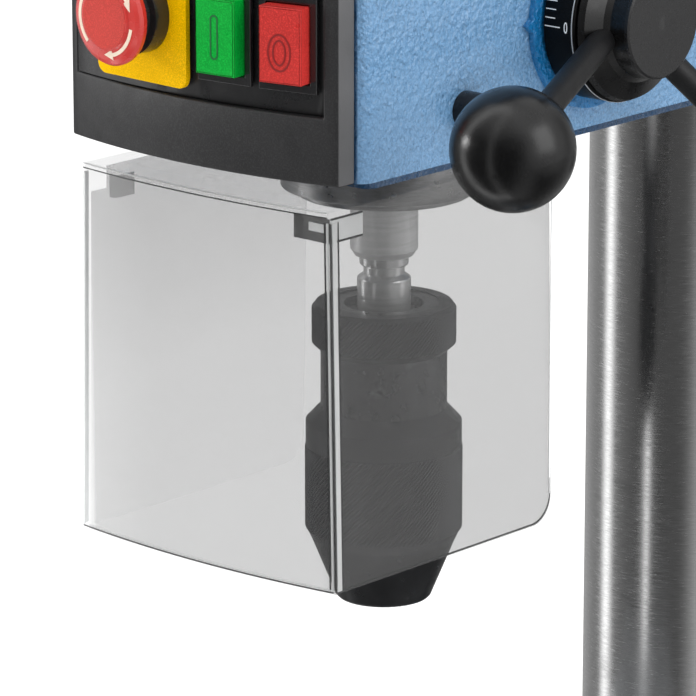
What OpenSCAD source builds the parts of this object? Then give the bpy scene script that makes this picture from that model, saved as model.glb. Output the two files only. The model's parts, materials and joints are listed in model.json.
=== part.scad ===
// Bench drill press: cast base, round column, tilting table, belt-driven head, feed handle and chuck guard.
// Millimetres. The origin is on the base's underside, on the column axis.
// -Y is the operator's side, +X is the feed handle's side, +Z is up.

/* [Machine] */
// Distance from the column axis to the spindle axis
throat = 175; // [150:1:220]
// Height of the head casting's underside
head_z = 602.5; // [560:0.5:660]
// Height of the table's top face
table_z = 285; // [250:1:330]
// Column diameter
column_d = 73; // [60:0.5:80]
// Full feed of the quill
quill_travel = 60; // [40:1:65]

/* [Base] */
// Base width
base_w = 260; // [220:1:320]
// Base length
base_l = 400; // [360:1:460]
// Height of the base's machined faces
base_h = 50; // [40:1:60]
// Bench bolt spacing across the base
bench_x = 200; // [160:1:240]
// Bench bolt spacing along the base
bench_y = 330; // [300:1:380]

/* [Table] */
// Table width
table_w = 260; // [220:1:300]
// Table depth
table_l = 236; // [200:1:240]
// Length of each table slot
slot_l = 70; // [50:1:80]
// Width of each table slot
slot_w = 12; // [10:1:16]

/* [Head] */
// Head casting width
head_w = 131; // [120:1:160]
// Head casting height
head_h = 160; // [150:1:180]
// Control box width
box_w = 124; // [110:1:130]
// Control box height
box_h = 98; // [90:1:110]
// How far the control box's face bows forward
box_bow = 8; // [4:0.5:12]

/* [Feed] */
// Feed shaft distance behind the spindle axis
feed_back = 34; // [34:0.5:40]
// Feed shaft height above the head's underside
feed_up = 41.5; // [40:0.5:50]
// Distance of each ball knob from the feed axis
arm_reach = 110; // [90:1:130]
// Outward lean of the feed arms
arm_lean = 20; // [15:1:22]
// Ball knob diameter
ball_d = 42; // [30:1:45]

/* [Chuck and guard] */
// Chuck length
chuck_l = 110; // [90:1:120]
// Chuck sleeve diameter
sleeve_d = 57; // [50:0.5:62]
// Guard width at its lower edge
guard_w = 122; // [110:1:130]
// Guard height
guard_h = 133.5; // [110:0.5:150]
// Guard wall thickness
guard_t = 3; // [2:0.5:4]

/* [Hidden] */
spin_y = -throat;
col_r = column_d / 2;
run = 0.05;
head_top = head_z + head_h;
feed_y = spin_y + feed_back;
feed_z = head_z + feed_up;
half_head = head_w / 2;
head_front = spin_y - 86;
head_rear = 62;
bow_r = (pow(box_w / 2, 2) + pow(box_bow, 2)) / (2 * box_bow);
bow_y = head_front - 8 - box_bow;
recess_x0 = -58.5;
recess_x1 = 56;
recess_z0 = head_z + 23;
recess_z1 = head_z + 80.5;
insert_tilt = 1.6;
estop_z = head_z + 50.3;
button_z = head_z + 47.3;
estop_x = -20.5;
start_x = 17;
stop_x = 42.2;
boss_r = 28;
boss_z = head_z - 27.5;
quill_r = 20;
quill_z0 = boss_z;
quill_z1 = head_z + 132;
feed_m = 2;
feed_teeth = 16;
spindle_r = 12.2;
nose_z = head_z - 50.5;
chuck_z1 = head_z - 68;
chuck_z0 = chuck_z1 - chuck_l;
chuck_core_r = 22.8;
jaw_tilt = 12;
jaw_r = 4;
guard_z1 = head_z - 9;
guard_z0 = guard_z1 - guard_h;
guard_front = spin_y - 94.5;
guard_rear = spin_y + 21;
guard_bow = 4.5;
guard_draft = 2.5;
sleeve_z0 = head_top - 16;
pulley_z = head_top + 8;
step_h = 14;
steps = [30, 40, 50];
belt_h = 9;
motor_y = 142;
motor_r = 58;
tray_r = 78;
tray_z1 = head_top + 40;
lid_h = 62;
pivot_z = table_z - 45;
lift_y = 62;
lift_m = 2;
lift_teeth = 12;
rack_z0 = base_h + 46;
rack_z1 = table_z + 20;
crank_r = 70;

// ---- shared shapes -------------------------------------------------------------------------

// Solid block centred in X and Y with rounded vertical edges.
module round_block(w, l, h, r) {
    translate([-w / 2 + r, -l / 2, 0]) cube([w - 2 * r, l, h]);
    translate([-w / 2, -l / 2 + r, 0]) cube([w, l - 2 * r, h]);
    for (sx = [-1, 1]) {
        for (sy = [-1, 1]) {
            translate([sx * (w / 2 - r), sy * (l / 2 - r), 0]) cylinder(h = h, r = r, $fn = 48);
        }
    }
}

// Cylinder along +X from x0 to x1 on the axis (y, z).
module x_rod(r, x0, x1, y, z, fn = 64) {
    translate([x0, y, z]) rotate([0, 90, 0]) cylinder(h = x1 - x0, r = r, $fn = fn);
}

// Cylinder along +Y from y0 to y1 on the axis (x, z).
module y_rod(r, y0, y1, x, z, fn = 64) {
    translate([x, y0, z]) rotate([-90, 0, 0]) cylinder(h = y1 - y0, r = r, $fn = fn);
}

// Cylinder along +Z from z0 to z1 on the axis (x, y).
module z_rod(r, z0, z1, x, y, fn = 64) {
    translate([x, y, z0]) cylinder(h = z1 - z0, r = r, $fn = fn);
}

// Ring along +Z on the spindle axis.
module spindle_ring(r_out, r_in, z0, z1) {
    difference() {
        z_rod(r_out, z0, z1, 0, spin_y, 96);
        z_rod(r_in, z0 - 1, z1 + 1, 0, spin_y, 96);
    }
}

// Slot along X through a plate from z0 to z1.
module x_slot(l, w, z0, z1, x, y) {
    z_rod(w / 2, z0, z1, x - (l - w) / 2, y);
    z_rod(w / 2, z0, z1, x + (l - w) / 2, y);
    translate([x - (l - w) / 2, y - w / 2, z0]) cube([l - w, w, z1 - z0]);
}

// Socket head cap screw along +X with its head's underside at x.
module cap_screw_x(thread_r, shank, x, y, z) {
    difference() {
        union() {
            x_rod(thread_r, x - shank, x + 0.1, y, z);
            x_rod(thread_r * 1.62, x, x + 2 * thread_r, y, z);
        }
        x_rod(thread_r * 0.87, x + thread_r, x + 2 * thread_r + 1, y, z, 6);
    }
}

// Involute angle in degrees at radius r on base radius rb.
function inv_deg(r, rb) = let(a = acos(min(1, rb / r))) tan(a) * 180 / PI - a;

// Half the tooth's angle at radius r, thinned for backlash.
function half_tooth(r, m, teeth, slack) =
    let(pr = m * teeth / 2, rb = pr * cos(20))
    90 / teeth - slack / pr * 90 / PI + inv_deg(pr, rb) - inv_deg(max(r, rb), rb);

// Outline of one tooth, root to tip and back, centred on angle 0.
function tooth_points(m, teeth, add, ded, slack) =
    let(pr = m * teeth / 2, r0 = pr - ded, r1 = pr + add, n = 5)
    concat([for (i = [0:n]) let(r = r0 + (r1 - r0) * i / n, a = half_tooth(r, m, teeth, slack)) [r, -a]],
        [for (i = [n:-1:0]) let(r = r0 + (r1 - r0) * i / n, a = half_tooth(r, m, teeth, slack)) [r, a]]);

// Spur gear outline with a tooth centred at angle turn.
module gear_2d(m, teeth, add, ded, slack, turn) {
    tooth = tooth_points(m, teeth, add, ded, slack);
    polygon([for (k = [0:teeth - 1]) for (p = tooth)
        let(a = turn + k * 360 / teeth + p[1]) [p[0] * cos(a), p[0] * sin(a)]]);
}

// Rack tooth solid pointing along +X, running along Y, pitch line at x = 0, centred on y = 0.
module rack_tooth_2d(m, add, ded, slack) {
    half = PI * m / 4 - slack / 2;
    polygon([[-ded, -half - ded * tan(20)], [add, -half + add * tan(20)],
        [add, half - add * tan(20)], [-ded, half + ded * tan(20)]]);
}

// ---- stand ---------------------------------------------------------------------------------

module base() {
    mid_y = 100 - base_l / 2;
    color([0.13, 0.14, 0.15])
    difference() {
        union() {
            difference() {
                translate([0, mid_y, 0]) round_block(base_w, base_l, base_h - 5, 24);
                translate([0, mid_y, -1]) round_block(base_w - 24, base_l - 24, base_h - 16, 14);
            }
            z_rod(74, 0, base_h, 0, 0, 96);
            translate([0, spin_y - 25, base_h - 12]) round_block(190, 130, 12, 8);
            for (sx = [-1, 1]) {
                for (sy = [-1, 1]) {
                    z_rod(17, 0, base_h - 5, sx * bench_x / 2, mid_y + sy * bench_y / 2);
                }
                translate([sx * 40 - 4, -289, 4]) cube([8, 240, base_h - 10]);
            }
        }
        for (sx = [-1, 1]) {
            for (sy = [-1, 1]) {
                z_rod(6, -1, base_h + 1, sx * bench_x / 2, mid_y + sy * bench_y / 2);
            }
            x_slot(50, 14, -1, base_h + 1, sx * 60, spin_y - 25);
        }
        for (a = [45:90:315]) {
            rotate([0, 0, a]) z_rod(5, base_h - 30, base_h + 1, 57, 0);
        }
    }
}

module column_flange() {
    color([0.13, 0.14, 0.15])
    difference() {
        union() {
            z_rod(70, base_h, base_h + 14, 0, 0, 96);
            z_rod(48, base_h + 13, base_h + 45, 0, 0, 96);
        }
        z_rod(col_r, base_h - 1, base_h + 66, 0, 0, 96);
        for (a = [45:90:315]) {
            rotate([0, 0, a]) z_rod(5.5, base_h - 1, base_h + 15, 57, 0);
        }
    }
}

module flange_bolts() {
    color([0.35, 0.36, 0.38])
    for (a = [45:90:315]) {
        rotate([0, 0, a]) {
            z_rod(5, base_h - 25, base_h + 14, 57, 0);
            z_rod(9, base_h + 14, base_h + 21, 57, 0, 6);
        }
    }
}

module column() {
    color([0.72, 0.73, 0.75])
    difference() {
        z_rod(col_r, base_h, head_z + 138, 0, 0, 128);
        z_rod(col_r - 4.5, base_h - 1, head_z + 139, 0, 0, 128);
    }
}

module rack_ring() {
    color([0.13, 0.14, 0.15])
    difference() {
        z_rod(54, rack_z1 + 0.5, rack_z1 + 18, 0, 0, 96);
        z_rod(col_r, rack_z1 - 1, rack_z1 + 19, 0, 0, 96);
        x_rod(4, 30, 60, 0, rack_z1 + 9);
    }
}

module rack_ring_screw() {
    color([0.1, 0.1, 0.1])
    difference() {
        x_rod(4, col_r + 0.2, 55, 0, rack_z1 + 9);
        x_rod(2.3, 51, 56, 0, rack_z1 + 9, 6);
    }
}

module rack() {
    pitch = PI * lift_m;
    pitch_y = lift_y - lift_m * lift_teeth / 2;
    count = floor((rack_z1 - rack_z0 - 10) / pitch);
    first = floor((rack_z0 + 6 - pivot_z) / pitch) + 1;
    color([0.45, 0.46, 0.48]) {
        translate([-9, col_r + 0.7, rack_z0]) cube([18, pitch_y - 2.4 - col_r - 0.7, rack_z1 - rack_z0]);
        for (k = [0:count - 1]) {
            translate([9, pitch_y, pivot_z + (first + k) * pitch]) rotate([90, 0, -90]) rotate([0, 0, 180])
                linear_extrude(height = 18) rack_tooth_2d(lift_m, 1.3, 2.5, 0.25);
        }
    }
}

// ---- table ---------------------------------------------------------------------------------

module table_bracket() {
    flange_y = spin_y + 45.05;
    color([0.09, 0.22, 0.42])
    difference() {
        union() {
            z_rod(50, pivot_z - 45, pivot_z + 43, 0, 0, 96);
            y_rod(20, flange_y + 10, -40, 0, pivot_z);
            y_rod(31, flange_y, flange_y + 18, 0, pivot_z);
            translate([-24, 30, pivot_z - 30]) cube([48, 52, 60]);
            x_rod(14, -66, -40, 0, pivot_z + 20);
        }
        z_rod(col_r + 0.3, pivot_z - 46, pivot_z + 44, 0, 0, 96);
        translate([-9.3, 20, pivot_z - 46]) cube([18.6, lift_y - 8.5 - 20, 90]);
        x_rod(15.2, -9.3, 9.3, lift_y, pivot_z);
        x_rod(7 + run, -30, 30, lift_y, pivot_z);
        x_rod(6 + run, -70, -30, 0, pivot_z + 20);
        y_rod(8, flange_y - 1, flange_y + 40, 0, pivot_z);
    }
}

module tilt_bolt() {
    front = spin_y + 22;
    color([0.35, 0.36, 0.38]) {
        y_rod(8, front - 1, front + 60, 0, pivot_z);
        y_rod(14, front - 10.1, front - 0.1, 0, pivot_z, 6);
    }
}

module bracket_lever() {
    x0 = -66.5;
    color([0.1, 0.1, 0.1]) {
        x_rod(6, x0 - 1, -col_r - 1, 0, pivot_z + 20);
        x_rod(12, x0 - 16, x0, 0, pivot_z + 20);
        translate([x0 - 8, 0, pivot_z + 20]) rotate([150, 0, 0]) cylinder(h = 62, r1 = 6, r2 = 4.5, $fn = 48);
        translate([x0 - 8, 0, pivot_z + 20]) rotate([150, 0, 0]) translate([0, 0, 68]) sphere(r = 11, $fn = 48);
    }
}

module lift_pinion() {
    color([0.45, 0.46, 0.48]) {
        translate([-8.5, lift_y, pivot_z]) rotate([90, 0, 90])
            linear_extrude(height = 17) gear_2d(lift_m, lift_teeth, 1.9, 2.0, 0.25, 180 + 180 / lift_teeth);
        x_rod(7, -24, 76, lift_y, pivot_z);
    }
}

module lift_crank() {
    color([0.13, 0.14, 0.15])
    translate([0, lift_y, pivot_z]) rotate([-35, 0, 0]) {
        difference() {
            union() {
                x_rod(14, 60, 76, 0, 0);
                x_rod(9, 64, 73, crank_r, 0);
                translate([64, 0, -8]) cube([9, crank_r, 16]);
            }
            x_rod(7, 59, 77, 0, 0);
        }
        x_rod(4, 72, 112, crank_r, 0);
    }
}

module lift_knob() {
    color([0.06, 0.06, 0.07])
    translate([73.3, lift_y, pivot_z]) rotate([-35, 0, 0]) translate([0, crank_r, 0]) rotate([0, 90, 0])
        rotate_extrude($fn = 64)
            polygon([[4 + run, 0], [8, 0], [9.5, 6], [11, 22], [10, 32], [7, 36], [4 + run, 36]]);
}

module table() {
    color([0.62, 0.63, 0.65])
    translate([0, spin_y, 0])
    difference() {
        union() {
            difference() {
                translate([0, 0, table_z - 20]) round_block(table_w, table_l, 20, 16);
                translate([0, 0, table_z - 21]) round_block(table_w - 18, table_l - 18, 9, 8);
            }
            z_rod(26, table_z - 20, table_z - 11, 0, -6);
            translate([-26, 22, pivot_z]) cube([52, 23, 35]);
            y_rod(31, 22, 45, 0, pivot_z);
        }
        z_rod(15, table_z - 30, table_z + 1, 0, 0);
        y_rod(8 + run, 20, 46, 0, pivot_z);
        for (sx = [-1, 1]) {
            for (sy = [-1, 1]) {
                x_slot(slot_l, slot_w, table_z - 22, table_z + 1, sx * 75, sy * 65);
            }
        }
    }
}

// ---- head casting --------------------------------------------------------------------------

module head_shell() {
    mid_y = (head_front + head_rear) / 2;
    len = head_rear - head_front;
    difference() {
        translate([0, mid_y, head_z]) round_block(head_w, len, head_h, 5);
        translate([0, (head_front - 50) / 2 + 4, head_z + 8])
            round_block(head_w - 16, -50 - head_front - 8, head_h - 20, 6);
        translate([-54, head_front - 1, head_z + 12]) cube([108, 12, 80]);
    }
    translate([0, mid_y + 2, head_z - 5]) round_block(head_w - 16, len - 20, 6, 5);
}

module head_bosses() {
    z_rod(boss_r, boss_z, head_z, 0, spin_y, 96);
    z_rod(30, head_z, head_z + 134, 0, spin_y, 96);
    z_rod(33, head_top - 22, head_top, 0, spin_y, 96);
    x_rod(28, -half_head + 1, half_head - 1, feed_y, feed_z, 96);
    x_rod(34, half_head - 1, half_head + 2.5, feed_y, feed_z, 96);
    x_rod(37, -half_head - 2.5, -half_head + 1, feed_y, feed_z, 96);
    translate([half_head - 1, feed_y, feed_z]) rotate([90, 0, 90])
        linear_extrude(height = 3.5) polygon([[-30, -6], [-37, 0], [-30, 6]]);
}

module head_casting() {
    color([0.04, 0.22, 0.44])
    difference() {
        union() {
            head_shell();
            head_bosses();
        }
        z_rod(quill_r + run, boss_z - 1, head_z + 135, 0, spin_y, 96);
        z_rod(15, head_z + 130, head_top + 1, 0, spin_y, 96);
        z_rod(23, head_top - 14, head_top + 1, 0, spin_y, 96);
        z_rod(col_r + run, head_z - 10, head_z + 139, 0, 0, 96);
        x_rod(9 + run, -half_head - 5, half_head + 5, feed_y, feed_z, 96);
        x_rod(21.5, -13.5, 13.5, feed_y, feed_z, 96);
        x_rod(4, half_head - 22, half_head + 1, spin_y - 33.5, head_z + 17.5);
        for (dz = [30, 80]) {
            x_rod(5, -half_head - 1, -col_r, 0, head_z + dz);
        }
        for (sx = [-1, 1]) {
            y_rod(7 + run, 0, head_rear + 1, sx * 54, head_z + 110);
        }
        x_rod(4, 60, half_head + 1, 22, head_z + 110);
    }
}

module column_set_screws() {
    color([0.1, 0.1, 0.1])
    for (dz = [30, 80]) {
        difference() {
            x_rod(5, -half_head - 4, -col_r - 0.2, 0, head_z + dz);
            x_rod(2.9, -half_head - 5, -half_head, 0, head_z + dz, 6);
        }
    }
}

module quill_lock_screw() {
    color([0.07, 0.07, 0.08]) cap_screw_x(4, 20, half_head, spin_y - 33.5, head_z + 17.5);
}

// ---- controls ------------------------------------------------------------------------------

// Upright cylinder whose front is the bowed face, set back by the given depth.
module bow_cylinder(back) {
    z_rod(bow_r - back, head_z - 1, head_z + box_h + 1, 0, bow_y + bow_r, 256);
}

// Children are turned about the recess's left end, so the insert sinks towards the right.
module insert_frame() {
    pivot_y = bow_y + bow_r - sqrt(pow(bow_r, 2) - pow(recess_x0, 2));
    translate([recess_x0, pivot_y, 0]) rotate([0, 0, insert_tilt]) translate([-recess_x0, -pivot_y, 0])
        children();
}

// Local frame on the insert's face: +Z points out of the face, +Y is up.
module on_insert(x, z) {
    turn = asin(x / bow_r);
    insert_frame()
        translate([x, bow_y + bow_r - sqrt(pow(bow_r, 2) - pow(x, 2)), z])
            rotate([90, 0, turn]) children();
}

// Openings in the box wall and the insert for the three controls.
module control_holes() {
    on_insert(estop_x, estop_z) translate([0, 0, -25]) cylinder(h = 40, r = 11, $fn = 64);
    for (x = [start_x, stop_x]) {
        on_insert(x, button_z) translate([-10.2, -15.6, -25]) cube([20.4, 31.2, 40]);
    }
}

module control_box() {
    color([0.05, 0.05, 0.055])
    difference() {
        intersection() {
            translate([-box_w / 2, bow_y - 1, head_z]) cube([box_w, head_front - bow_y + 1, box_h]);
            bow_cylinder(0);
        }
        intersection() {
            translate([-box_w / 2 + 4, bow_y - 1, head_z + 5])
                cube([box_w - 8, head_front - bow_y + 3, box_h - 10]);
            bow_cylinder(6.5);
        }
        difference() {
            translate([recess_x0, bow_y - 1, recess_z0])
                cube([recess_x1 - recess_x0, 20, recess_z1 - recess_z0]);
            bow_cylinder(4);
        }
        control_holes();
    }
}

module control_insert() {
    color([0.03, 0.03, 0.035])
    difference() {
        intersection() {
            translate([recess_x0 + 0.2, bow_y - 1, recess_z0 + 0.2])
                cube([recess_x1 - recess_x0 - 0.4, 20, recess_z1 - recess_z0 - 0.4]);
            insert_frame() bow_cylinder(0);
        }
        bow_cylinder(4);
        control_holes();
    }
}

module switch_block() {
    color([0.16, 0.16, 0.17]) {
        translate([-48, head_front + 6, button_z - 18]) cube([100, 24, 40]);
        on_insert(estop_x, estop_z) translate([-9, -9, -24]) cube([18, 18, 6.5]);
        for (x = [start_x, stop_x]) {
            on_insert(x, button_z) translate([0, 0, -24]) cylinder(h = 14.5, r = 4, $fn = 48);
        }
    }
}

module estop_plate() {
    color([0.93, 0.75, 0.1])
    on_insert(estop_x, estop_z) difference() {
        translate([0, 0, 0.6]) round_block(44, 48, 1.8, 4);
        translate([0, 0, -1]) cylinder(h = 6, r = 11, $fn = 64);
    }
}

module estop_body() {
    color([0.05, 0.05, 0.055])
    on_insert(estop_x, estop_z) {
        translate([0, 0, -17.5]) cylinder(h = 30, r = 11, $fn = 64);
        translate([0, 0, 2.4]) cylinder(h = 6.2, r = 14, $fn = 64);
    }
}

module estop_button() {
    color([0.75, 0.08, 0.08])
    on_insert(estop_x, estop_z) rotate_extrude($fn = 96)
        polygon([[0, 19.5], [10.8, 19.5], [11.3, 18.9], [14.4, 18.7], [15.9, 17.9], [16.6, 16.6],
            [16.4, 15], [15, 13.6], [12, 13], [12, 17.2], [0, 17.2]]);
}

module button_bezels() {
    color([0.05, 0.05, 0.055])
    for (x = [start_x, stop_x]) {
        on_insert(x, button_z) difference() {
            union() {
                translate([-10.2, -15.6, -12]) cube([20.4, 31.2, 14]);
                translate([-11.2, -16.6, 1]) cube([22.4, 33.2, 1.8]);
            }
            translate([-8.6, -13.5, -13]) cube([17.2, 27, 20]);
        }
    }
}

// Push button cap with a small step behind its face.
module button_cap(x) {
    on_insert(x, button_z) {
        translate([-8.2, -13.1, -6]) cube([16.4, 26.2, 13.6]);
        translate([-7.7, -12.6, 7.5]) cube([15.4, 25.2, 0.7]);
    }
}

module start_button() {
    color([0.08, 0.42, 0.22]) button_cap(start_x);
}

module stop_button() {
    color([0.72, 0.08, 0.07]) button_cap(stop_x);
}

// ---- quill, spindle and chuck --------------------------------------------------------------

module quill() {
    pitch_y = spin_y + feed_back - feed_m * feed_teeth / 2;
    pitch = PI * feed_m;
    color([0.7, 0.71, 0.73])
    difference() {
        union() {
            difference() {
                z_rod(quill_r, quill_z0, quill_z1, 0, spin_y, 96);
                translate([-12.5, pitch_y - 2.4, feed_z - 12]) cube([25, 10, quill_travel + 24]);
            }
            intersection() {
                z_rod(quill_r, quill_z0, quill_z1, 0, spin_y, 96);
                for (k = [-1:11]) {
                    translate([12.5, pitch_y, feed_z + k * pitch]) rotate([90, 0, -90]) rotate([0, 0, 180])
                        linear_extrude(height = 25) rack_tooth_2d(feed_m, 1.9, 2.5, 0.25);
                }
            }
        }
        z_rod(9.3, quill_z0 - 1, quill_z1 + 1, 0, spin_y);
        z_rod(13, quill_z0 - 1, head_z + 26, 0, spin_y);
        z_rod(17.5, quill_z0 - 1, quill_z0 + 12, 0, spin_y);
        z_rod(17.5, quill_z1 - 11, quill_z1 + 1, 0, spin_y);
    }
}

module quill_bearings() {
    color([0.6, 0.61, 0.63]) {
        spindle_ring(17.5, spindle_r + run, quill_z0 + 2, quill_z0 + 12);
        spindle_ring(17.5, 8.5 + run, quill_z1 - 11, quill_z1 - 1);
    }
}

module spindle() {
    color([0.66, 0.67, 0.69])
    translate([0, spin_y, 0])
    difference() {
        union() {
            translate([0, 0, nose_z]) cylinder(h = 2.5, r1 = spindle_r - 1.6, r2 = spindle_r, $fn = 96);
            z_rod(spindle_r, nose_z + 2.4, head_z + 24, 0, 0, 96);
            z_rod(8.5, head_z + 23, quill_z1 + 4, 0, 0, 96);
            z_rod(7, quill_z1 + 3, head_top + 72, 0, 0, 96);
            for (a = [0:60:300]) {
                rotate([0, 0, a]) translate([0, -1.3, quill_z1 + 3]) cube([8.3, 2.6, head_top + 69 - quill_z1]);
            }
        }
        translate([0, 0, nose_z - 0.01]) cylinder(h = 66, r1 = 8.9, r2 = 7.25, $fn = 96);
        z_rod(4, nose_z, head_z + 23, 0, 0);
    }
}

module arbor() {
    color([0.74, 0.75, 0.77])
    translate([0, spin_y, 0]) rotate_extrude($fn = 96)
        polygon([[0, chuck_z1 - 27], [7.3, chuck_z1 - 27], [8.5, chuck_z1], [9.7, chuck_z1 + 9],
            [7.4, chuck_z1 + 13], [8.7, chuck_z1 + 14], [8.9, nose_z - 0.01], [7.275, nose_z + 64],
            [0, nose_z + 64]]);
}

// Axis of one jaw: +Z runs up and outwards from the chuck's mouth.
module jaw_frame(a) {
    translate([0, spin_y, chuck_z0 + 3]) rotate([0, 0, a]) translate([5.2, 0, 0]) rotate([0, jaw_tilt, 0])
        children();
}

module chuck_body() {
    color([0.12, 0.12, 0.13])
    difference() {
        union() {
            z_rod(chuck_core_r, chuck_z0 + 19, chuck_z1 - 17.4, 0, spin_y, 96);
            z_rod(20, chuck_z1 - 18, chuck_z1 - 0.5, 0, spin_y, 96);
        }
        translate([0, spin_y, chuck_z1 - 27]) cylinder(h = 27, r1 = 7.3, r2 = 8.5, $fn = 96);
        z_rod(14.4, chuck_z1 - 4, chuck_z1 + 1, 0, spin_y);
        z_rod(5, chuck_z0 + 18, chuck_z1 - 29, 0, spin_y);
        for (a = [90, 210, 330]) {
            jaw_frame(a) translate([0, 0, -5]) cylinder(h = 66, r = jaw_r + run, $fn = 48);
        }
    }
}

module chuck_ring() {
    color([0.12, 0.12, 0.13])
    translate([0, spin_y, 0]) rotate_extrude($fn = 96)
        polygon([[20, chuck_z1 - 17.4], [22.9, chuck_z1 - 17.4], [26, chuck_z1 - 14.7],
            [26, chuck_z1 - 1.4], [24.6, chuck_z1], [20, chuck_z1]]);
}

module chuck_sleeve() {
    bore = chuck_core_r + run;
    r = sleeve_d / 2;
    color([0.12, 0.12, 0.13])
    translate([0, spin_y, chuck_z0]) rotate_extrude($fn = 96)
        polygon([[bore, 22.5], [r - 2.2, 22.5], [r - 0.5, 26], [r, 26.5], [r, 56.5], [r - 0.3, 57.5],
            [r - 0.3, 66], [r - 4, 70], [bore, 71.5]]);
}

module chuck_nose() {
    bore = chuck_core_r + run;
    color([0.1, 0.1, 0.11])
    translate([0, spin_y, chuck_z0]) rotate_extrude($fn = 96)
        polygon([[10.6, 0], [16.6, 0], [17.4, 0.8], [sleeve_d / 2 - 2.2, 22.5], [bore, 22.5],
            [bore, 18.5], [16.5, 18.5]]);
}

// One gripping jaw, its tip cut off square with the chuck's mouth.
module jaw(a) {
    color([0.5, 0.51, 0.53])
    intersection() {
        jaw_frame(a) translate([0, 0, -4]) cylinder(h = 50, r = jaw_r, $fn = 48);
        z_rod(22, chuck_z0 + 3, chuck_z0 + 60, 0, spin_y);
    }
}

module jaw_1() { jaw(90); }
module jaw_2() { jaw(210); }
module jaw_3() { jaw(330); }

// ---- chuck guard ---------------------------------------------------------------------------

module guard_retainer() {
    color([0.75, 0.76, 0.78]) spindle_ring(31.4, boss_r, boss_z, boss_z + 2.8);
}

module guard_ring() {
    color([0.75, 0.76, 0.78]) spindle_ring(37, boss_r + run, boss_z + 3, guard_z1 - guard_t);
}

// Solid inside the guard's outline, set in by the given wall thickness.
module guard_solid(inset, down, back) {
    w0 = guard_w / 2 - inset;
    w1 = w0 - guard_draft;
    r = (pow(guard_w / 2, 2) + pow(guard_bow, 2)) / (2 * guard_bow);
    intersection() {
        translate([0, guard_rear + back, 0]) rotate([90, 0, 0]) linear_extrude(height = 140 + back)
            polygon([[-w0, guard_z0 - down], [w0, guard_z0 - down], [w1, guard_z1 - inset],
                [-w1, guard_z1 - inset]]);
        z_rod(r - inset, guard_z0 - 5, guard_z1 + 5, 0, guard_front - guard_bow + r, 256);
    }
}

module chuck_guard() {
    corner = 10;
    color([0.8, 0.85, 0.88, 0.35])
    difference() {
        union() {
            difference() {
                guard_solid(0, 0, 0);
                guard_solid(guard_t, 1, 5);
            }
            for (sx = [-1, 1]) {
                translate([sx * 50 - 8, guard_front + 1, guard_z1 - 11]) cube([16, 9, 9]);
            }
        }
        z_rod(boss_r + 0.6, guard_z1 - 5, guard_z1 + 5, 0, spin_y, 96);
        difference() {
            translate([-80, guard_rear - corner, guard_z0 - 1]) cube([160, corner + 1, corner + 1]);
            x_rod(corner, -80, 80, guard_rear - corner, guard_z0 + corner);
        }
    }
}

// ---- feed ----------------------------------------------------------------------------------

module feed_pinion() {
    color([0.5, 0.51, 0.53]) {
        translate([-12, feed_y, feed_z]) rotate([90, 0, 90])
            linear_extrude(height = 24) gear_2d(feed_m, feed_teeth, 1.9, 2.4, 0.25, 180 + 180 / feed_teeth);
        x_rod(9, -half_head - 22, half_head + 28, feed_y, feed_z, 96);
    }
}

module depth_drum() {
    color([0.06, 0.06, 0.065])
    translate([half_head + 3, feed_y, feed_z]) rotate([0, 90, 0]) rotate_extrude($fn = 128)
        polygon([[14 + run, 0], [29.2, 0], [30, 0.8], [30, 13.4], [29.4, 14], [14 + run, 14]]);
}

// Direction of each feed arm about the feed axis, measured up from the rear.
arm_angles = [72, 192, 312];
// Where each arm leaves the hub, measured along the arm.
arm_root = 22;
arm_r = 4.8;

// Frame of one arm: +Z runs from the feed axis out along the arm.
module arm_frame(a) {
    translate([half_head + 14.5, feed_y, feed_z]) rotate([a, 0, 0]) rotate([-90, 0, 0])
        rotate([0, arm_lean, 0]) children();
}

module feed_hub() {
    color([0.06, 0.06, 0.065])
    difference() {
        translate([half_head, feed_y, feed_z]) rotate([0, 90, 0]) rotate_extrude($fn = 128)
            polygon([[9, 3.2], [14, 3.2], [14, 17.3], [28.6, 17.3], [29.4, 18.2], [28.4, 20.4],
                [22, 23.5], [20.2, 25.2], [19.7, 32.2], [19, 32.7], [0, 33], [0, 28], [9, 28]]);
        for (a = arm_angles) {
            arm_frame(a) translate([0, 0, arm_root]) cylinder(h = 20, r = arm_r, $fn = 48);
        }
    }
}

module feed_arms() {
    reach = arm_reach / cos(arm_lean);
    color([0.06, 0.06, 0.065])
    for (a = arm_angles) {
        arm_frame(a) {
            translate([0, 0, arm_root]) cylinder(h = reach - arm_root - ball_d / 2 + 2, r = arm_r, $fn = 48);
            translate([0, 0, reach - 21]) cylinder(h = 16, r = 4, $fn = 48);
        }
    }
}

module ball_knobs() {
    reach = arm_reach / cos(arm_lean);
    color([0.04, 0.04, 0.045])
    for (a = arm_angles) {
        arm_frame(a) difference() {
            translate([0, 0, reach]) sphere(r = ball_d / 2, $fn = 96);
            translate([0, 0, reach - 30]) cylinder(h = 30 - ball_d / 2 + 2, r = 8, $fn = 48);
            translate([0, 0, reach - 25]) cylinder(h = 21, r = 4, $fn = 48);
        }
    }
}

module spring_cap() {
    color([0.1, 0.1, 0.11])
    difference() {
        translate([-half_head - 2.5, feed_y, feed_z]) rotate([0, -90, 0]) rotate_extrude($fn = 96)
            polygon([[31, 0], [34, 0], [34, 20], [31, 23.5], [0, 23.5], [0, 21], [31, 21]]);
        for (a = [0:120:240]) {
            translate([-half_head - 24, feed_y, feed_z]) rotate([a, 0, 0]) translate([-5, 22, 0])
                rotate([0, 90, 0]) cylinder(h = 10, r = 3, $fn = 32);
        }
    }
}

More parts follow.
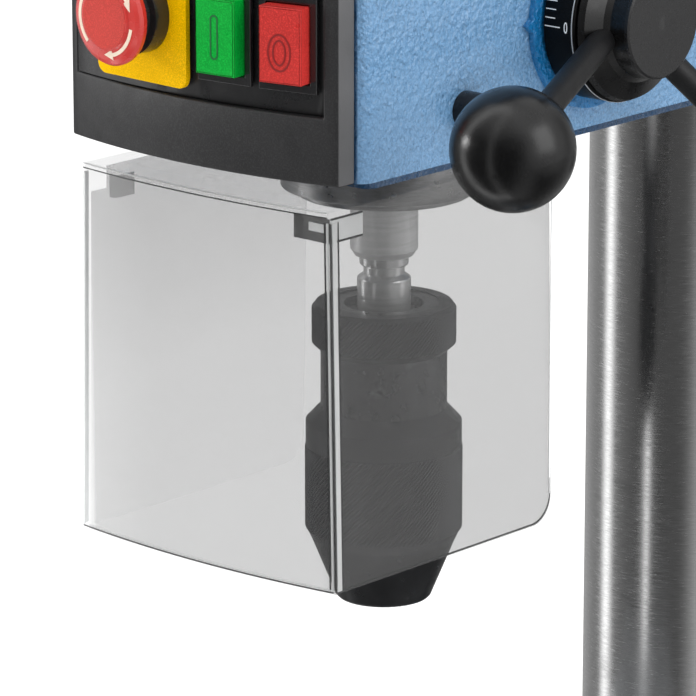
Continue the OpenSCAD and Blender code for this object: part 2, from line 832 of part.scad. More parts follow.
module return_spring() {
    turns = 4;
    n = 24 * turns;
    r0 = 11;
    r1 = 29;
    color([0.3, 0.31, 0.34])
    translate([-half_head - 16, feed_y, feed_z]) rotate([90, 0, 90]) linear_extrude(height = 12)
        polygon(concat(
            [for (i = [0:n]) let(r = r0 + (r1 - r0) * i / n) [r * cos(i * 15), r * sin(i * 15)]],
            [for (i = [n:-1:0]) let(r = r0 + 1.2 + (r1 - r0) * i / n) [r * cos(i * 15), r * sin(i * 15)]]));
}

// ---- drive ---------------------------------------------------------------------------------

// Oblong solid from the spindle to the motor, with round ends.
module oblong(r, z0, z1) {
    z_rod(r, z0, z1, 0, spin_y, 96);
    z_rod(r, z0, z1, 0, motor_y, 96);
    translate([-r, spin_y, z0]) cube([2 * r, motor_y - spin_y, z1 - z0]);
}

module belt_tray() {
    color([0.04, 0.22, 0.44])
    difference() {
        union() {
            oblong(tray_r, head_top, tray_z1);
            for (y = [-120, 60]) {
                translate([-tray_r - 7, y, tray_z1 - 12]) cube([8, 24, 11]);
                y_rod(4.6, y, y + 24, -tray_r - 5, tray_z1);
            }
        }
        oblong(tray_r - 3, head_top + 4, tray_z1 + 1);
        z_rod(24, head_top - 1, head_top + 5, 0, spin_y, 96);
        z_rod(14, head_top - 1, head_top + 5, 0, motor_y);
        z_rod(14, head_top - 1, head_top + 5, 0, motor_y - 14);
        translate([-14, motor_y - 14, head_top - 1]) cube([28, 14, 6]);
        y_rod(2.5 + run, -130, 100, -tray_r - 5, tray_z1);
    }
}

module belt_lid() {
    color([0.05, 0.05, 0.055])
    difference() {
        union() {
            oblong(tray_r, tray_z1 + 0.4, tray_z1 + lid_h);
            for (y = [-95.6, 35.6]) {
                y_rod(4.6, y, y + 24, -tray_r - 5, tray_z1);
                translate([-tray_r - 5, y, tray_z1 + 0.4]) cube([8, 24, 4.2]);
            }
        }
        oblong(tray_r - 3, tray_z1 - 6, tray_z1 + lid_h - 3);
        y_rod(2.5 + run, -130, 100, -tray_r - 5, tray_z1);
        x_rod(3, tray_r - 5, tray_r + 5, -60, tray_z1 + 14);
    }
}

module lid_pin() {
    color([0.6, 0.61, 0.63]) y_rod(2.5, -121, 85, -tray_r - 5, tray_z1);
}

module lid_knob() {
    color([0.04, 0.04, 0.045])
    translate([tray_r - 6, -60, tray_z1 + 14]) rotate([0, 90, 0]) rotate_extrude($fn = 64)
        polygon([[0, 0], [3, 0], [3, 6], [6, 6], [7, 9], [11, 14], [12, 18], [10.5, 22], [7, 24], [0, 24.5]]);
}

module drive_bearing() {
    color([0.6, 0.61, 0.63]) spindle_ring(23, 13.95 + run, head_top - 14, head_top - 2);
}

module drive_sleeve() {
    color([0.5, 0.51, 0.53])
    translate([0, spin_y, 0])
    difference() {
        union() {
            z_rod(13.95, sleeve_z0, head_top + 52, 0, 0, 96);
            z_rod(17, head_top - 1.5, pulley_z, 0, 0, 96);
        }
        z_rod(7.35, sleeve_z0 - 1, head_top + 53, 0, 0);
        z_rod(9.2, sleeve_z0 - 1, sleeve_z0 + 3, 0, 0);
        for (a = [0:60:300]) {
            rotate([0, 0, a]) translate([0, -1.7, sleeve_z0 - 1]) cube([8.75, 3.4, head_top + 60 - sleeve_z0]);
        }
    }
}

// Stepped V pulley; radii are listed from the bottom step up.
module stepped_pulley(radii, bore) {
    difference() {
        rotate_extrude($fn = 96)
            polygon(concat([[bore, 0]],
                [for (k = [0:2]) for (p = [[0, 0], [0, 1.8], [-8, 4.6], [-8, 9.4], [0, 12.2], [0, step_h]])
                    [radii[k] + p[0], k * step_h + p[1]]],
                [[bore, 3 * step_h]]));
    }
}

module spindle_pulley() {
    color([0.75, 0.76, 0.78])
    translate([0, spin_y, pulley_z]) stepped_pulley([steps[2], steps[1], steps[0]], 13.95);
}

module motor_pulley() {
    color([0.75, 0.76, 0.78])
    translate([0, motor_y, pulley_z]) stepped_pulley(steps, 7);
}

// V belt on the middle steps of both pulleys, drawn as two arcs and two straight runs.
module v_belt() {
    r_out = steps[1] - 0.6;
    r_in = steps[1] - 6.4;
    zc = pulley_z + 1.5 * step_h;
    section = [[r_in, -2.4], [r_out, -4.3], [r_out, 4.3], [r_in, 2.4]];
    color([0.05, 0.05, 0.05]) {
        difference() {
            union() {
                translate([0, spin_y, zc]) rotate_extrude($fn = 96) polygon(section);
                translate([0, motor_y, zc]) rotate_extrude($fn = 96) polygon(section);
            }
            translate([-60, spin_y, zc - 10]) cube([120, motor_y - spin_y, 20]);
        }
        for (sx = [-1, 1]) {
            translate([0, motor_y, zc]) rotate([90, 0, 0]) linear_extrude(height = motor_y - spin_y)
                polygon([for (p = section) [sx * p[0], p[1]]]);
        }
    }
}

// ---- motor ---------------------------------------------------------------------------------

module motor_plate() {
    color([0.13, 0.14, 0.15]) {
        translate([-62, head_rear + 12, head_z + 50]) cube([124, 8, 100]);
        for (sx = [-1, 1]) {
            y_rod(7, 12, head_rear + 14, sx * 54, head_z + 110);
        }
    }
}

module tension_knob() {
    color([0.05, 0.05, 0.055]) {
        x_rod(4 - run, 61.5, half_head + 3, 22, head_z + 110);
        x_rod(7, half_head + 0.5, half_head + 6, 22, head_z + 110);
        for (a = [0:60:300]) {
            translate([half_head + 5, 22, head_z + 110]) rotate([a, 0, 0]) translate([0, 9, 0])
                rotate([0, 90, 0]) cylinder(h = 13, r = 4.5, $fn = 32);
        }
        x_rod(10, half_head + 5, half_head + 18, 22, head_z + 110);
    }
}

module motor_body() {
    z0 = head_z + 10;
    z1 = head_top - 12;
    color([0.16, 0.17, 0.18])
    difference() {
        union() {
            z_rod(motor_r - 4, z0 + 2, z1 - 2, 0, motor_y, 96);
            z_rod(motor_r, z1 - 26, z1 - 6, 0, motor_y, 96);
            z_rod(22, z1 - 6, z1, 0, motor_y);
            z_rod(motor_r, z0, z0 + 34, 0, motor_y, 96);
            for (a = [0:12:348]) {
                translate([0, motor_y, z0 + 30]) rotate([0, 0, a]) translate([50, -1.2, 0])
                    cube([8, 2.4, z1 - z0 - 54]);
            }
            translate([-40, head_rear + 20, head_z + 56]) cube([80, 30, 80]);
            translate([44, motor_y - 26, head_z + 62]) cube([38, 52, 60]);
            y_rod(8, motor_y + 20, motor_y + 40, 66, head_z + 80, 48);
        }
        z_rod(7 + run, z0 + 20, z1 + 1, 0, motor_y);
        for (a = [0:30:330]) {
            rotate_about_motor(a) translate([34, -2.5, z0 - 1]) cube([14, 5, 8]);
        }
    }
}

// Children are turned about the motor's axis.
module rotate_about_motor(a) {
    translate([0, motor_y, 0]) rotate([0, 0, a]) children();
}

module motor_shaft() {
    color([0.66, 0.67, 0.69]) z_rod(7, head_z + 32, pulley_z + 46, 0, motor_y);
}

base();
column_flange();
flange_bolts();
column();
rack_ring();
rack_ring_screw();
rack();
table_bracket();
tilt_bolt();
bracket_lever();
lift_pinion();
lift_crank();
lift_knob();
table();
head_casting();
column_set_screws();
quill_lock_screw();
control_box();
control_insert();
switch_block();
estop_plate();
estop_body();
estop_button();
button_bezels();
start_button();
stop_button();
quill();
quill_bearings();
spindle();
arbor();
chuck_body();
chuck_ring();
chuck_sleeve();
chuck_nose();
jaw_1();
jaw_2();
jaw_3();
guard_retainer();
guard_ring();
chuck_guard();
feed_pinion();
depth_drum();
feed_hub();
feed_arms();
ball_knobs();
spring_cap();
return_spring();
belt_tray();
belt_lid();
lid_pin();
lid_knob();
drive_bearing();
drive_sleeve();
spindle_pulley();
motor_plate();
tension_knob();
motor_body();
motor_shaft();
motor_pulley();
v_belt();
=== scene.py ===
import json
import math

import bmesh
import bpy
from mathutils import Matrix, Vector


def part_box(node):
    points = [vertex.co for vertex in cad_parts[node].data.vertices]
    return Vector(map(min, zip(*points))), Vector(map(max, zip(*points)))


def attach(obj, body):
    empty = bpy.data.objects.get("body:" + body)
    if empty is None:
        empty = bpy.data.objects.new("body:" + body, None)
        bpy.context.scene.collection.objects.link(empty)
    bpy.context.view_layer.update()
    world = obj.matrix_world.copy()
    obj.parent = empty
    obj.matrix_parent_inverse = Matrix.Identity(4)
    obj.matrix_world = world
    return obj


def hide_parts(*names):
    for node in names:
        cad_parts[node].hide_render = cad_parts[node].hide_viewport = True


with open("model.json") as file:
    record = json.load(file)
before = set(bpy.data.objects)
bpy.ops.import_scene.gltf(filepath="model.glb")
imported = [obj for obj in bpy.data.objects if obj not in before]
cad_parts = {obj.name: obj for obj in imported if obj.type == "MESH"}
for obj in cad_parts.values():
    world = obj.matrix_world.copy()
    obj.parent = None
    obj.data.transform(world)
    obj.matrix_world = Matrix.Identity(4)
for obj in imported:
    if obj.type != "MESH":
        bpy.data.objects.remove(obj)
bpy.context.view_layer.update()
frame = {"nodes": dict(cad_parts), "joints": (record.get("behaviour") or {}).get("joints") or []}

NODES = frame["nodes"]
MM = 0.001
INCH = 25.4
JOINT_AXES = {j["name"]: Vector(j["axis"]) for j in frame["joints"]}


# ---- procedural materials ------------------------------------------------------------------


class Finish:
    """A Principled material fed by textures in the object's own metres."""

    def __init__(self, name, roughness, metallic=0.0, specular=0.5, coat=0.0, alpha=1.0):
        self.material = bpy.data.materials.new(name)
        self.material.use_nodes = True
        self.tree = self.material.node_tree
        self.shader = self.tree.nodes["Principled BSDF"]
        self.place = self.add("ShaderNodeTexCoord").outputs["Object"]
        self.roughness = roughness
        self.height = None
        values = {
            "Roughness": roughness,
            "Metallic": metallic,
            "Specular IOR Level": specular,
            "Coat Weight": coat,
            "Coat Roughness": 0.12,
            "Alpha": alpha,
        }
        for socket, value in values.items():
            self.shader.inputs[socket].default_value = value

    def add(self, kind, **settings):
        node = self.tree.nodes.new(kind)
        for name, value in settings.items():
            setattr(node, name, value)
        return node

    def link(self, source, target):
        self.tree.links.new(source, target)

    def scaled(self, size, stretch):
        """The object's coordinates, so that one unit is the given size, and stretched streaks run long."""
        mapping = self.add("ShaderNodeMapping")
        mapping.inputs["Scale"].default_value = [s / size for s in stretch]
        self.link(self.place, mapping.inputs["Vector"])
        return mapping.outputs["Vector"]

    def noise(self, size, detail=3.0, stretch=(1, 1, 1)):
        node = self.add("ShaderNodeTexNoise")
        node.inputs["Scale"].default_value = 1.0
        node.inputs["Detail"].default_value = detail
        self.link(self.scaled(size, stretch), node.inputs["Vector"])
        return node.outputs[0]

    def cells(self, size, stretch=(1, 1, 1)):
        node = self.add("ShaderNodeTexVoronoi", feature="SMOOTH_F1")
        node.inputs["Scale"].default_value = 1.0
        self.link(self.scaled(size, stretch), node.inputs["Vector"])
        return node.outputs["Distance"]

    def axis(self, index):
        """The object's X, Y or Z coordinate, in metres."""
        node = self.add("ShaderNodeSeparateXYZ")
        self.link(self.place, node.inputs[0])
        return node.outputs[index]

    def between(self, value, low, high, a=0.0, b=1.0):
        """A number that goes from a to b while value goes from low to high."""
        node = self.add("ShaderNodeMapRange", clamp=True)
        self.link(value, node.inputs["Value"])
        for socket, number in (("From Min", low), ("From Max", high), ("To Min", a), ("To Max", b)):
            node.inputs[socket].default_value = number
        return node.outputs["Result"]

    def product(self, a, b):
        node = self.add("ShaderNodeMath", operation="MULTIPLY")
        self.link(a, node.inputs[0])
        self.link(b, node.inputs[1])
        return node.outputs[0]

    def blend(self, factor, a, b):
        """Colour a where factor is 0 and b where it is 1; either may be a socket or three numbers."""
        node = self.add("ShaderNodeMix", data_type="RGBA")
        self.link(factor, node.inputs[0])
        for socket, colour in ((node.inputs[6], a), (node.inputs[7], b)):
            if isinstance(colour, bpy.types.NodeSocket):
                self.link(colour, socket)
            else:
                socket.default_value = (*colour, 1.0)
        return node.outputs[2]

    def colour(self, base, spread=0.12, size=0.03):
        """Base colour that drifts a little lighter and darker over the surface."""
        darker = [c * (1 - spread) for c in base]
        lighter = [min(1.0, c * (1 + spread)) for c in base]
        return self.blend(self.between(self.noise(size, 5), 0.35, 0.65), darker, lighter)

    def paint(self, colour):
        self.link(colour, self.shader.inputs["Base Color"])

    def vary_roughness(self, size, amount, stretch=(1, 1, 1)):
        low = max(0.02, self.roughness - amount)
        high = min(1.0, self.roughness + amount)
        rough = self.between(self.noise(size, 4, stretch), 0.3, 0.7, low, high)
        self.link(rough, self.shader.inputs["Roughness"])

    def relief(self, height, depth):
        """Bump of the given depth in metres, on top of any bump made before."""
        node = self.add("ShaderNodeBump")
        node.inputs["Distance"].default_value = depth
        self.link(height, node.inputs["Height"])
        if self.height is not None:
            self.link(self.height, node.inputs["Normal"])
        self.height = node.outputs["Normal"]
        self.link(self.height, self.shader.inputs["Normal"])


def orange_peel_paint(name, base, roughness=0.3, grain=1.5 * MM, depth=1.1 * MM, head=False):
    """Thick textured enamel. On the head, painted shade makes it navy below the control box's bottom and on
    its front face, and it is deeper blue on the bosses.
    """
    f = Finish(name, roughness, specular=0.55, coat=0.3)
    colour = f.colour(base, 0.08, 0.05)
    speckle = f.between(f.noise(0.9 * MM, 2), 0.38, 0.62)
    colour = f.blend(speckle, colour, [min(1.0, c * 1.25 + 0.01) for c in base])
    if head:
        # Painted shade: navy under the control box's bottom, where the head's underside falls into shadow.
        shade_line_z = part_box("control_box")[0].z
        colour = f.blend(f.between(f.axis(2), shade_line_z - 0.2 * MM, shade_line_z), PAINTED_SHADE_NAVY, colour)
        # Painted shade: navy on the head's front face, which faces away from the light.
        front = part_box("head_casting")[0].y
        colour = f.blend(f.between(f.axis(1), front + 0.3 * MM, front + 0.6 * MM), PAINTED_SHADE_NAVY, colour)
        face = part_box("head_casting")[1].x - 2.4 * MM
        colour = f.blend(f.between(f.axis(0), face, face + 0.2 * MM), colour, BOSS_BLUE)
    f.paint(colour)
    f.vary_roughness(0.01, 0.08)
    f.relief(f.noise(grain, 2), depth)
    f.relief(f.cells(grain * 1.6), depth * 0.7)
    return f.material


def hammer_paint(name, base, roughness=0.5):
    """Dark textured paint with a dusty, slightly worn surface."""
    f = Finish(name, roughness, specular=0.4)
    colour = f.colour(base, 0.18, 0.04)
    dust = f.between(f.noise(0.012, 6), 0.62, 0.78)
    f.paint(f.blend(dust, colour, [c * 1.5 + 0.02 for c in base]))
    f.vary_roughness(0.02, 0.12)
    f.relief(f.cells(2.6 * MM), 0.25 * MM)
    f.relief(f.noise(0.8 * MM, 3), 0.08 * MM)
    return f.material


def brushed_steel(name, base, roughness, streak, depth=0.02 * MM, metallic=1.0):
    """Ground steel with fine lines along one direction and a few darker handling marks."""
    f = Finish(name, roughness, metallic=metallic)
    colour = f.colour(base, 0.06, 0.06)
    lines = f.between(f.noise(1.2 * MM, 3, streak), 0.35, 0.65)
    colour = f.blend(lines, colour, [c * 0.86 for c in base])
    marks = f.between(f.noise(0.02, 7), 0.64, 0.8)
    f.paint(f.blend(marks, colour, [c * 0.7 for c in base]))
    f.vary_roughness(1.5 * MM, 0.07, streak)
    f.relief(f.noise(0.7 * MM, 2, streak), depth)
    return f.material


def cast_iron_top(name):
    """Planed grey iron: parallel tool marks, light rust bloom and darker oily patches."""
    f = Finish(name, 0.38, metallic=0.85)
    colour = f.colour((0.40, 0.41, 0.42), 0.1, 0.05)
    marks = f.between(f.noise(1.5 * MM, 3, (1, 0.04, 1)), 0.35, 0.65)
    colour = f.blend(marks, colour, (0.30, 0.31, 0.32))
    bloom = f.between(f.noise(0.03, 8), 0.66, 0.85)
    f.paint(f.blend(bloom, colour, (0.24, 0.20, 0.17)))
    f.vary_roughness(0.02, 0.1)
    f.relief(f.noise(1.0 * MM, 2, (1, 0.03, 1)), 0.03 * MM)
    return f.material


def black_oxide(name, base=(0.035, 0.036, 0.038), roughness=0.42):
    """Blackened steel that shows a little bare metal where it is handled."""
    f = Finish(name, roughness, metallic=0.7, specular=0.5)
    colour = f.colour(base, 0.2, 0.012)
    rubbed = f.between(f.noise(0.006, 8), 0.62, 0.8)
    f.paint(f.blend(rubbed, colour, [c * 2.2 + 0.02 for c in base]))
    f.vary_roughness(0.004, 0.1)
    f.relief(f.noise(0.5 * MM, 3), 0.02 * MM)
    return f.material


def grained_plastic(name, base, roughness=0.5, grain=0.55 * MM, depth=0.06 * MM, specular=0.45):
    """Moulded plastic with a spark-eroded grain."""
    f = Finish(name, roughness, specular=specular)
    colour = f.colour(base, 0.12, 0.05)
    speck = f.between(f.noise(grain, 2), 0.45, 0.7)
    f.paint(f.blend(speck, colour, [c * 1.35 + 0.004 for c in base]))
    f.vary_roughness(0.008, 0.07)
    f.relief(f.noise(grain, 3), depth)
    return f.material


def gloss_plastic(name, base, roughness=0.22, coat=0.3):
    """Smooth moulded plastic with faint waviness and fine scuffs."""
    f = Finish(name, roughness, specular=0.5, coat=coat)
    colour = f.colour(base, 0.07, 0.02)
    scuffs = f.between(f.noise(0.8 * MM, 5, (1, 1, 0.2)), 0.66, 0.8)
    f.paint(f.blend(scuffs, colour, [min(1.0, c * 1.25 + 0.01) for c in base]))
    f.vary_roughness(0.006, 0.05)
    f.relief(f.noise(0.012, 2), 0.05 * MM)
    f.relief(f.noise(0.4 * MM, 3), 0.01 * MM)
    return f.material


def rubber(name):
    f = Finish(name, 0.75, specular=0.3)
    colour = f.colour((0.022, 0.022, 0.023), 0.25, 0.01)
    dust = f.between(f.noise(0.004, 6), 0.6, 0.75)
    f.paint(f.blend(dust, colour, (0.06, 0.06, 0.058)))
    f.vary_roughness(0.003, 0.1)
    f.relief(f.noise(0.6 * MM, 4), 0.05 * MM)
    return f.material


def cast_aluminium(name, base=(0.52, 0.53, 0.54), roughness=0.4):
    f = Finish(name, roughness, metallic=0.9)
    colour = f.colour(base, 0.08, 0.02)
    rings = f.between(f.noise(0.6 * MM, 3, (0.15, 0.15, 1)), 0.4, 0.65)
    f.paint(f.blend(rings, colour, [c * 0.8 for c in base]))
    f.vary_roughness(0.004, 0.1)
    f.relief(f.noise(0.5 * MM, 2, (0.1, 0.1, 1)), 0.03 * MM)
    return f.material


def panel_plastic(name, base, side):
    """Black grained plastic for the control box, with painted light making its two side walls greyer."""
    f = Finish(name, 0.46, specular=0.35)
    low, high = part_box("control_box")
    left = f.between(f.axis(0), low.x + 0.1 * MM, low.x + 0.4 * MM)
    right = f.between(f.axis(0), high.x - 0.4 * MM, high.x - 0.1 * MM, 1.0, 0.0)
    speck = f.between(f.noise(0.55 * MM, 2), 0.45, 0.7)
    front = f.blend(speck, f.colour(base, 0.12, 0.05), [c * 1.5 + 0.004 for c in base])
    # Painted light: the side walls take the lighter side colour, as if lit from the side.
    f.paint(f.blend(f.product(left, right), f.colour(side, 0.15, 0.03), front))
    f.vary_roughness(0.008, 0.07)
    f.relief(f.noise(0.55 * MM, 3), 0.06 * MM)
    return f.material


def smoked_clear(name, tint, alpha, roughness=0.06, walls=None):
    """Clear polycarbonate with a grey veil, smears and ripple. Walls is how much denser than the front
    the guard's left and right walls look."""
    f = Finish(name, roughness, specular=0.5, alpha=alpha)
    if walls is not None:
        low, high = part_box("chuck_guard")
        left = f.between(f.axis(0), low.x + 4 * MM, low.x + 6 * MM, walls[0], 1.0)
        right = f.between(f.axis(0), high.x - 6 * MM, high.x - 4 * MM, 1.0, walls[1])
        veil = f.between(f.product(left, right), 0.0, 2.0, 0.0, 2.0 * alpha)
        f.link(veil, f.shader.inputs["Alpha"])
    f.paint(f.colour(tint, 0.05, 0.05))
    f.vary_roughness(0.03, 0.03)
    f.relief(f.noise(0.06, 2), 0.05 * MM)
    return f.material


def two_zone_gloss(name, base, other, axis_index, limit, roughness=0.28):
    """Gloss paint that changes to a second, more grained colour beyond a plane of the part."""
    f = Finish(name, roughness, specular=0.3, coat=0.05)
    zone = f.between(f.axis(axis_index), limit - 0.1 * MM, limit)
    grain = f.between(f.noise(0.7 * MM, 3), 0.4, 0.65)
    second = f.blend(grain, other, [c * 1.4 for c in other])
    f.paint(f.blend(zone, f.colour(base, 0.15, 0.01), second))
    f.vary_roughness(0.004, 0.06)
    f.relief(f.product(f.noise(0.6 * MM, 3), zone), 0.08 * MM)
    f.relief(f.noise(0.01, 2), 0.04 * MM)
    return f.material


BLUE = (0.103, 0.224, 0.385)
# Painted shade for the head's underside and front face.
PAINTED_SHADE_NAVY = (0.004, 0.045, 0.115)
BOSS_BLUE = (0.007, 0.15, 0.38)
BLACK = (0.017, 0.017, 0.018)
AROUND_Z = (0.05, 0.05, 1.0)
AROUND_X = (1.0, 0.05, 0.05)
ALONG_Z = (1.0, 1.0, 0.04)
HUB_GLOSS = (0.004, 0.004, 0.0042)
HUB_GRAIN = (0.009, 0.009, 0.0095)
HUB_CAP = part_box("feed_hub")[1].x - 2 * MM

STEEL = brushed_steel("turned_steel", (0.74, 0.74, 0.74), 0.26, AROUND_Z)
OXIDE = black_oxide("black_oxide")
IRON_PAINT = hammer_paint("stand_paint", (0.028, 0.031, 0.036))
GEAR = brushed_steel("cut_gear_steel", (0.36, 0.36, 0.37), 0.36, ALONG_Z)
ZINC = brushed_steel("zinc_plate", (0.50, 0.51, 0.52), 0.34, AROUND_X)
GLOSS_BLACK = gloss_plastic("gloss_black", BLACK)
PULLEY = cast_aluminium("pulley_aluminium")

FINISHES = {
    "base": IRON_PAINT,
    "column_flange": IRON_PAINT,
    "flange_bolts": OXIDE,
    "column": brushed_steel("column_steel", (0.50, 0.50, 0.50), 0.21, (0.3, 0.3, 4.0), 0.002 * MM),
    "rack_ring": IRON_PAINT,
    "rack_ring_screw": OXIDE,
    "rack": GEAR,
    "table_bracket": orange_peel_paint("bracket_paint", BLUE),
    "tilt_bolt": ZINC,
    "bracket_lever": GLOSS_BLACK,
    "lift_pinion": GEAR,
    "lift_crank": hammer_paint("crank_paint", (0.03, 0.03, 0.032)),
    "lift_knob": gloss_plastic("crank_grip", (0.02, 0.02, 0.021), 0.3),
    "table": cast_iron_top("table_iron"),
    "head_casting": orange_peel_paint("head_paint", BLUE, head=True),
    "column_set_screws": OXIDE,
    "quill_lock_screw": black_oxide("lock_screw", (0.022, 0.022, 0.024), 0.35),
    # The control box's second colour is painted light on its side walls.
    "control_box": panel_plastic("box_plastic", (0.016, 0.016, 0.017), (0.085, 0.085, 0.088)),
    "control_insert": grained_plastic("insert_film", (0.012, 0.012, 0.013), 0.3, 0.3 * MM, 0.02 * MM),
    "switch_block": grained_plastic("switch_plastic", (0.04, 0.04, 0.042)),
    "estop_plate": grained_plastic("yellow_plate", (0.80, 0.46, 0.0), 0.5, 0.4 * MM, 0.02 * MM, 0.03),
    "estop_body": gloss_plastic("estop_neck", BLACK, 0.25),
    "estop_button": gloss_plastic("estop_red", (0.55, 0.028, 0.022), 0.26),
    "button_bezels": gloss_plastic("bezel_black", (0.012, 0.012, 0.013), 0.15, 0.5),
    "start_button": grained_plastic("start_green", (0.0, 0.34, 0.035), 0.33, 0.5 * MM, 0.01 * MM, 0.15),
    "stop_button": grained_plastic("stop_red", (0.48, 0.03, 0.026), 0.33, 0.5 * MM, 0.01 * MM, 0.15),
    "quill": STEEL,
    "quill_bearings": STEEL,
    "spindle": brushed_steel("spindle_steel", (0.84, 0.84, 0.84), 0.35, AROUND_Z, 0.004 * MM, 0.35),
    "arbor": brushed_steel("arbor_steel", (0.82, 0.82, 0.82), 0.2, AROUND_Z, 0.004 * MM, 0.6),
    "chuck_body": black_oxide("chuck_body_steel", (0.05, 0.051, 0.054), 0.34),
    "chuck_ring": black_oxide("chuck_ring_steel", (0.032, 0.033, 0.035), 0.4),
    "chuck_sleeve": black_oxide("chuck_sleeve_steel", (0.032, 0.033, 0.035), 0.4),
    "chuck_nose": black_oxide("chuck_nose_steel", (0.014, 0.014, 0.015), 0.36),
    "jaw_1": STEEL,
    "jaw_2": STEEL,
    "jaw_3": STEEL,
    "guard_retainer": cast_aluminium("guard_clamp", (0.60, 0.60, 0.60), 0.35),
    "guard_ring": cast_aluminium("guard_collar", (0.60, 0.60, 0.60), 0.35),
    "chuck_guard": smoked_clear("guard_clear", (0.08, 0.08, 0.08), 0.32, walls=(0.05, 1.1)),
    "feed_pinion": GEAR,
    "depth_drum": grained_plastic("drum_black", (0.002, 0.002, 0.0022), 0.4, 0.4 * MM, 0.01 * MM, 0.1),
    "feed_hub": two_zone_gloss("hub_black", HUB_GLOSS, HUB_GRAIN, 0, HUB_CAP),
    "feed_arms": grained_plastic("arm_black", (0.004, 0.004, 0.0045), 0.42, 0.5 * MM, 0.05 * MM, 0.25),
    "ball_knobs": grained_plastic("ball_phenolic", (0.002, 0.002, 0.0022), 0.22, 0.5 * MM, 0.05 * MM, 0.3),
    "spring_cap": hammer_paint("spring_cap_paint", (0.03, 0.03, 0.032)),
    "return_spring": black_oxide("blued_spring", (0.03, 0.035, 0.05), 0.3),
    "belt_tray": orange_peel_paint("tray_paint", BLUE),
    "belt_lid": grained_plastic("lid_paint", (0.025, 0.025, 0.026), 0.5, 1.2 * MM, 0.12 * MM),
    "lid_pin": ZINC,
    "lid_knob": GLOSS_BLACK,
    "drive_bearing": STEEL,
    "drive_sleeve": STEEL,
    "spindle_pulley": PULLEY,
    "motor_plate": hammer_paint("plate_paint", (0.03, 0.031, 0.034)),
    "tension_knob": GLOSS_BLACK,
    "motor_body": hammer_paint("motor_paint", (0.05, 0.052, 0.056), 0.42),
    "motor_shaft": STEEL,
    "motor_pulley": PULLEY,
    "v_belt": rubber("belt_rubber"),
}

# Rounded edges where the real casting, moulding or turned edge has them, in metres.
EDGES = {
    "base": 1.5 * MM,
    "column_flange": 1.2 * MM,
    "table": 0.8 * MM,
    "table_bracket": 1.5 * MM,
    "head_casting": 1.0 * MM,
    "control_box": 0.8 * MM,
    "control_insert": 0.3 * MM,
    "estop_plate": 0.3 * MM,
    "estop_body": 0.4 * MM,
    "button_bezels": 0.35 * MM,
    "start_button": 0.5 * MM,
    "stop_button": 0.5 * MM,
    "depth_drum": 0.3 * MM,
    "lift_crank": 1.2 * MM,
    "belt_tray": 1.5 * MM,
    "belt_lid": 3.0 * MM,
    "motor_body": 1.0 * MM,
    "motor_plate": 1.0 * MM,
    "chuck_body": 0.3 * MM,
    "guard_ring": 0.4 * MM,
    "guard_retainer": 0.4 * MM,
    "quill_lock_screw": 0.3 * MM,
    "flange_bolts": 0.5 * MM,
    "tilt_bolt": 0.6 * MM,
}


def dress_cad_nodes():
    """Gives each CAD node its finish, and a rounded edge where one is listed."""
    for name, node in NODES.items():
        node.data.materials.clear()
        node.data.materials.append(FINISHES[name])
        if name in EDGES:
            weld = node.modifiers.new("weld", "WELD")
            weld.merge_threshold = 0.01 * MM
            bevel = node.modifiers.new("edge", "BEVEL")
            bevel.width = EDGES[name]
            bevel.segments = 3
            bevel.limit_method = "ANGLE"
            bevel.angle_limit = math.radians(38)
            bevel.harden_normals = True


# ---- mesh helpers --------------------------------------------------------------------------


def new_piece(name, mesh, body, material):
    """A finished piece that rides on a body and takes its finish from a material slot."""
    piece = bpy.data.objects.new(name, mesh)
    bpy.context.scene.collection.objects.link(piece)
    mesh.materials.append(material)
    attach(piece, body)
    return piece


def from_bmesh(name, bm, smooth=True):
    bmesh.ops.recalc_face_normals(bm, faces=bm.faces)
    mesh = bpy.data.meshes.new(name)
    bm.to_mesh(mesh)
    bm.free()
    for polygon in mesh.polygons:
        polygon.use_smooth = smooth
    return mesh


def lathe(name, centre, outline, segments):
    """Closed solid turned about a vertical axis. An outline point is (radius, height, knurl depth);
    where the depth isn't 0, every other corner is sunk, so that the rows form small pyramids."""
    bm = bmesh.new()
    rings = []
    for row, (radius, height, depth) in enumerate(outline):
        ring = []
        for i in range(segments):
            angle = 2 * math.pi * i / segments
            r = radius - depth * ((i + row) % 2)
            x = centre.x + r * math.cos(angle)
            y = centre.y + r * math.sin(angle)
            ring.append(bm.verts.new((x, y, height)))
        rings.append(ring)
    for row, ring in enumerate(rings):
        above = rings[(row + 1) % len(rings)]
        for i in range(segments):
            k = (i + 1) % segments
            bm.faces.new((ring[i], ring[k], above[k], above[i]))
    return from_bmesh(name, bm, smooth=False)


def knurled_band(radius, low, high, pitch, depth):
    """Outline points of a diamond knurl, half a pitch apart."""
    rows = max(2, round((high - low) / (pitch / 2)))
    return [(radius, low + (high - low) * i / rows, depth) for i in range(rows + 1)]


def skin_sections(bm, sections):
    """Closes a bar round its four-cornered cross sections, with a face over each end."""
    for low, high in zip(sections, sections[1:]):
        for k in range(4):
            bm.faces.new((low[k], low[(k + 1) % 4], high[(k + 1) % 4], high[k]))
    bm.faces.new(sections[0])
    bm.faces.new(sections[-1])


